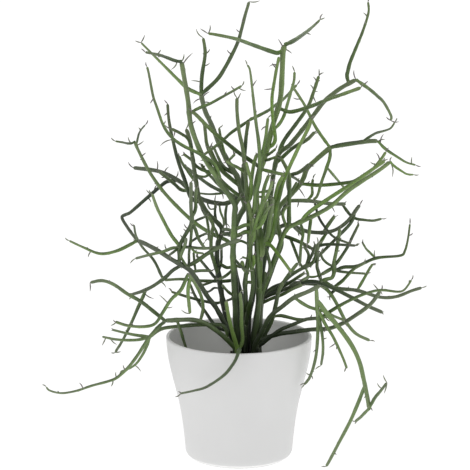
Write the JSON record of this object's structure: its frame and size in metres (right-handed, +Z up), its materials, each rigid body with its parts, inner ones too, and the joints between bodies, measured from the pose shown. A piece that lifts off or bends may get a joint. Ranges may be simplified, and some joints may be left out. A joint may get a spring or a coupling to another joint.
{
  "type": "potted pencil cactus",
  "caption": "Pencil cactus with branching round green stems and small narrow leaves, standing in soil in a plain white ceramic pot with a waist and a rounded foot.",
  "frame": {"origin": "centre of the pot's flat underside", "axes": "+Z up along the pot's axis, -Y towards the front, +X to the right seen from the front"},
  "size_m": [0.3879, 0.2706, 0.4656],
  "materials": {
    "pot_ceramic": "satin",
    "soil": "matte",
    "stem": "satin"
  },
  "bodies": {
    "root": {"pot": "pot_ceramic", "soil": "soil", "cane_front": "stem", "cane_hanging_right": "stem", "cane_low_left": "stem", "cane_far_left": "stem", "cane_left": "stem", "cane_low_right": "stem", "cane_centre": "stem", "cane_top": "stem", "cane_left_back": "stem", "cane_right_mid": "stem", "cane_upper_right": "stem", "cane_top_left": "stem", "cane_right_low": "stem", "cane_right": "stem", "cane_mid_left": "stem", "cane_right_back": "stem"}
  },
  "joints": []
}
